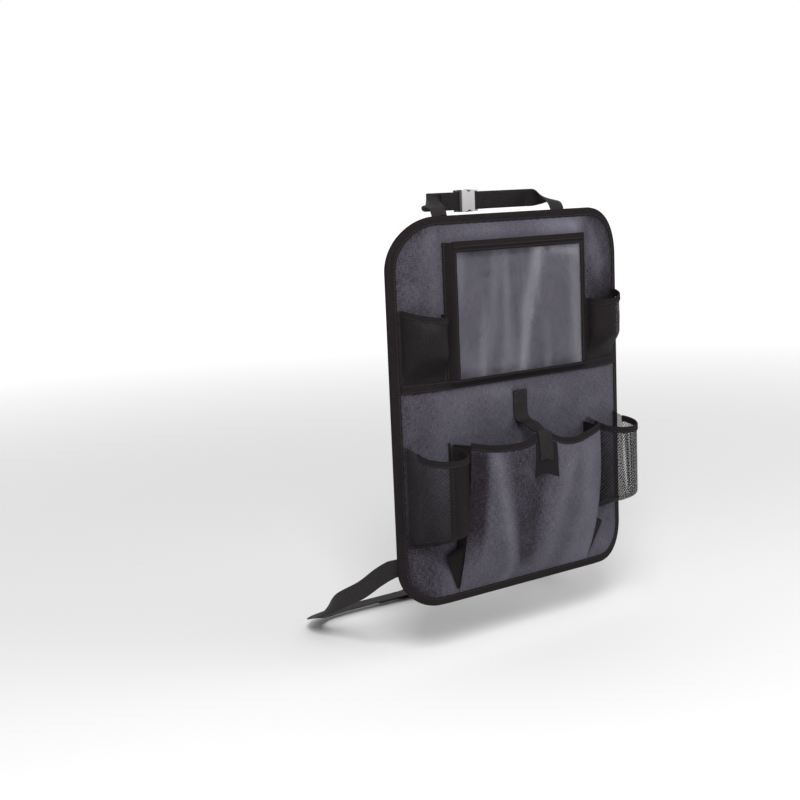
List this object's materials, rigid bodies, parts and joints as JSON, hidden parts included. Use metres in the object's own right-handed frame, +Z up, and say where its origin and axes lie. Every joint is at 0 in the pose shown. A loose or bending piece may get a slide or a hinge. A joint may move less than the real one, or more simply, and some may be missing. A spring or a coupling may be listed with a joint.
{
  "type": "car seat-back organizer",
  "caption": "Soft seat-back organizer: bound fabric panel with a clear tablet pocket, mesh side pockets, a gusseted centre pocket and buckled straps.",
  "frame": {"origin": "middle of the panel's back face, where it lies against the seat", "axes": "+Z up, +X to the viewer's right when facing the pockets, +Y into the seat; the pockets face -Y"},
  "size_m": [0.4714, 0.3647, 0.6501],
  "materials": {
    "grey_cloth": "woven melange cloth",
    "black_tape": "ribbed binding tape",
    "black_cloth": "plain woven cloth",
    "black_net": "open mesh",
    "black_elastic": "fold-over elastic",
    "clear_film": "clear soft film",
    "foam": "soft padding",
    "black_webbing": "woven webbing",
    "loop_patch": "looped pile",
    "pale_plastic": "satin",
    "black_plastic": "satin"
  },
  "bodies": {
    "organizer": {"front_fabric": "grey_cloth", "foam_core": "foam", "back_lining": "black_cloth", "edge_binding": "black_tape", "tablet_pocket_frame": "black_cloth", "tablet_pocket_window": "clear_film", "tablet_pocket_binding": "black_tape", "seam_tape": "black_tape", "upper_left_pocket": "black_net", "upper_left_elastic": "black_elastic", "upper_right_pocket": "black_net", "upper_right_elastic": "black_elastic", "lower_left_pocket": "black_net", "lower_left_elastic": "black_elastic", "lower_right_pocket": "black_net", "lower_right_elastic": "black_elastic", "centre_pocket_front": "grey_cloth", "centre_pocket_left_gusset": "black_cloth", "centre_pocket_right_gusset": "black_cloth", "centre_pocket_binding": "black_tape", "closure_strap": "black_webbing", "closure_patch": "loop_patch", "upper_left_strap": "black_webbing", "upper_right_strap": "black_webbing", "top_buckle_socket": "pale_plastic", "lower_left_strap": "black_webbing", "lower_right_strap": "black_webbing", "bottom_buckle_socket": "black_plastic"},
    "top_plug": {"top_buckle_plug": "black_plastic"},
    "bottom_plug": {"bottom_buckle_plug": "black_plastic"}
  },
  "joints": [
    {"name": "top_plug_pull", "type": "slide", "parent": "organizer", "child": "top_plug", "axis": [-1, 0, 0], "range_m": [0, 0.02], "deforming": ["top_buckle_plug", "upper_left_strap"]},
    {"name": "bottom_plug_pull", "type": "slide", "parent": "organizer", "child": "bottom_plug", "axis": [-1, 0, 0], "range_m": [0, 0.02], "deforming": ["bottom_buckle_plug", "lower_left_strap"]}
  ]
}
